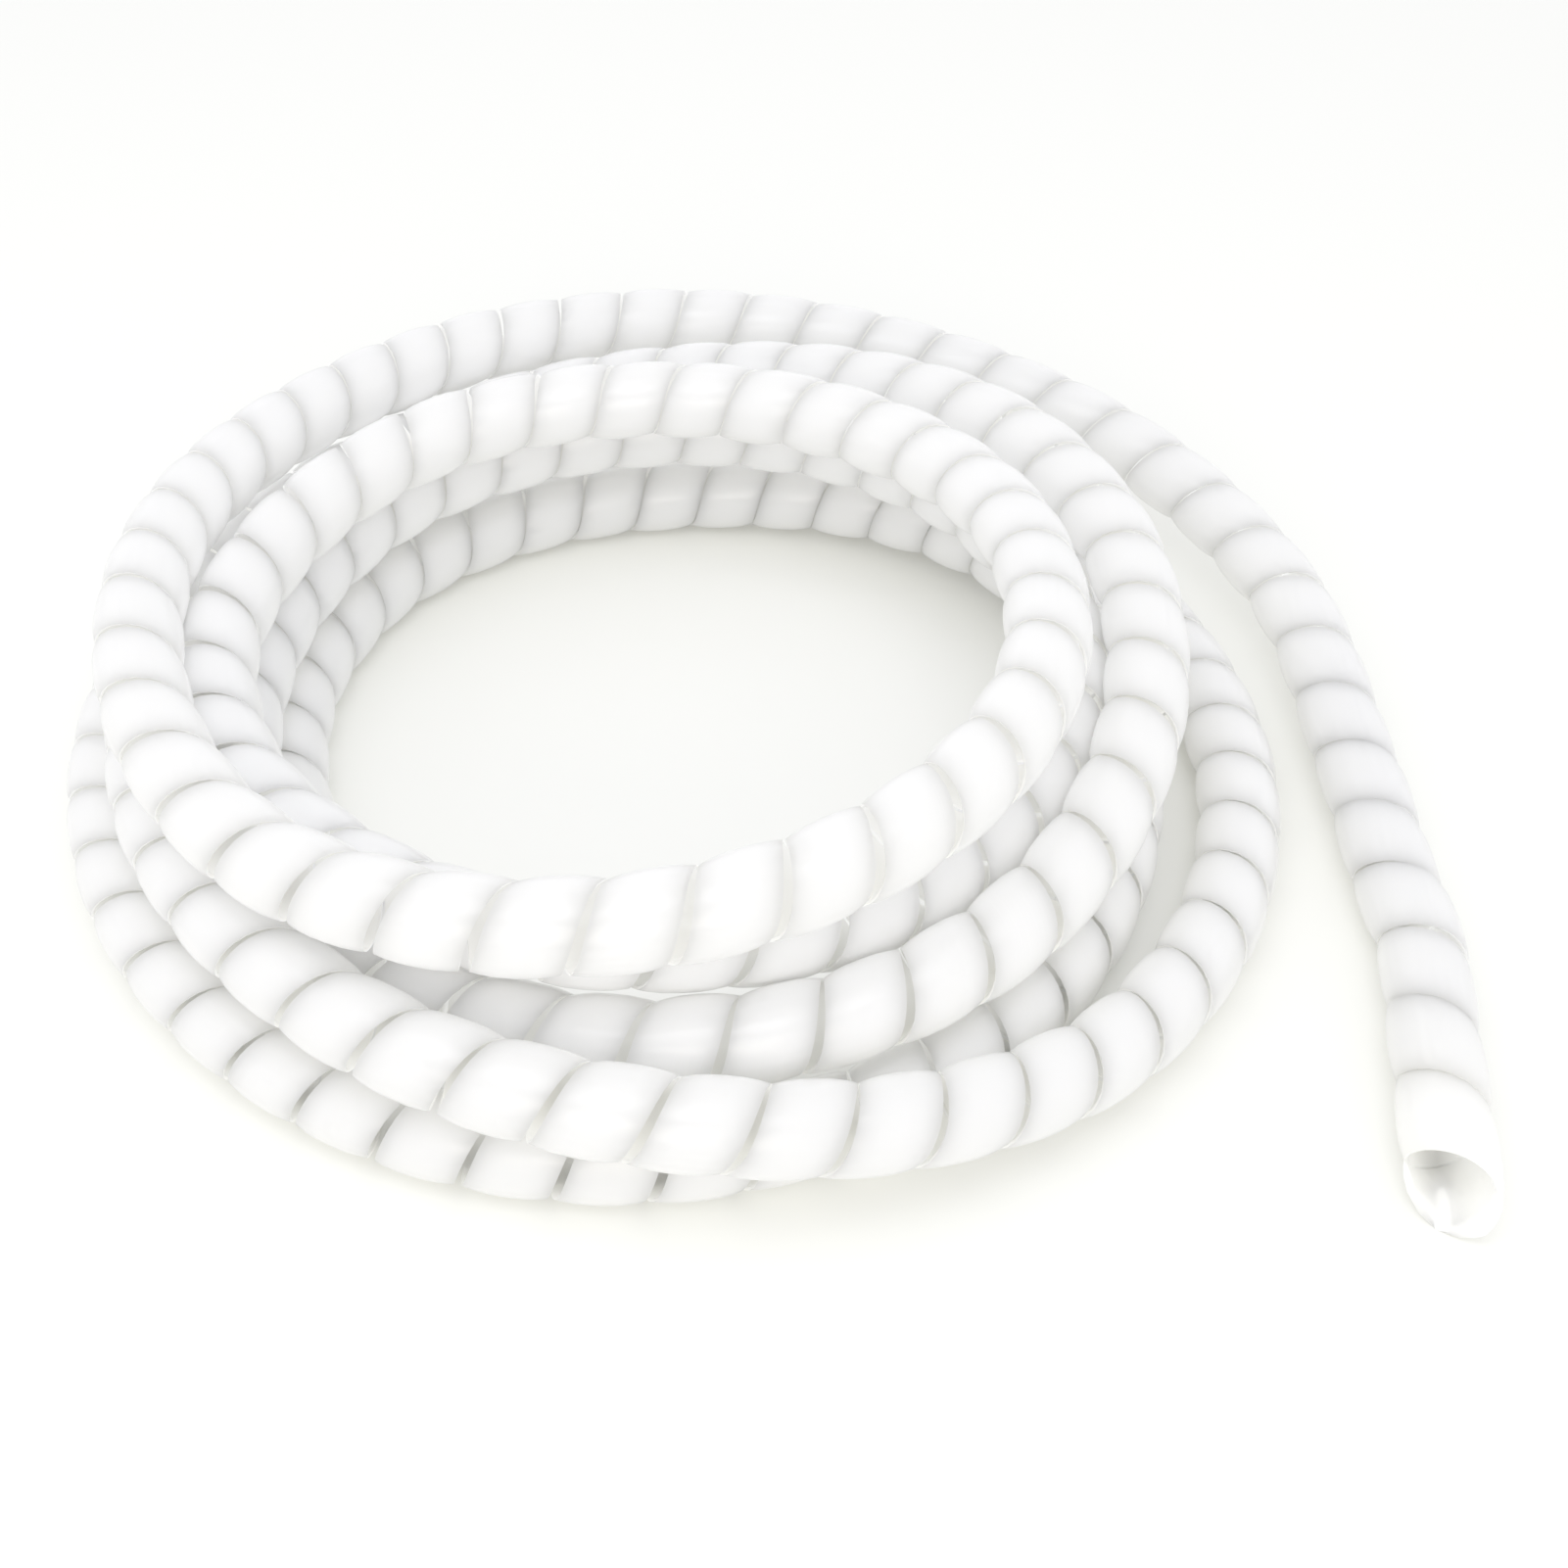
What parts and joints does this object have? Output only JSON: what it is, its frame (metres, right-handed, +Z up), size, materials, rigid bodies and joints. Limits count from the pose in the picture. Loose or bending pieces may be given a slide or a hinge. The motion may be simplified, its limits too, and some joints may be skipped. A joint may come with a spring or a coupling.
{
  "type": "spiral cable wrap",
  "caption": "Loose coil of milky plastic tube slit along a spiral, which is wound round a bundle of cables to hold and protect it.",
  "frame": {"origin": "on the floor under the middle of the coil", "axes": "+Z up, +X right, +Y back"},
  "size_m": [0.4045, 0.3792, 0.0962],
  "materials": {
    "polyethylene": "milky natural polyethylene, extruded"
  },
  "bodies": {
    "root": {"spiral_wrap": "polyethylene"}
  },
  "joints": []
}
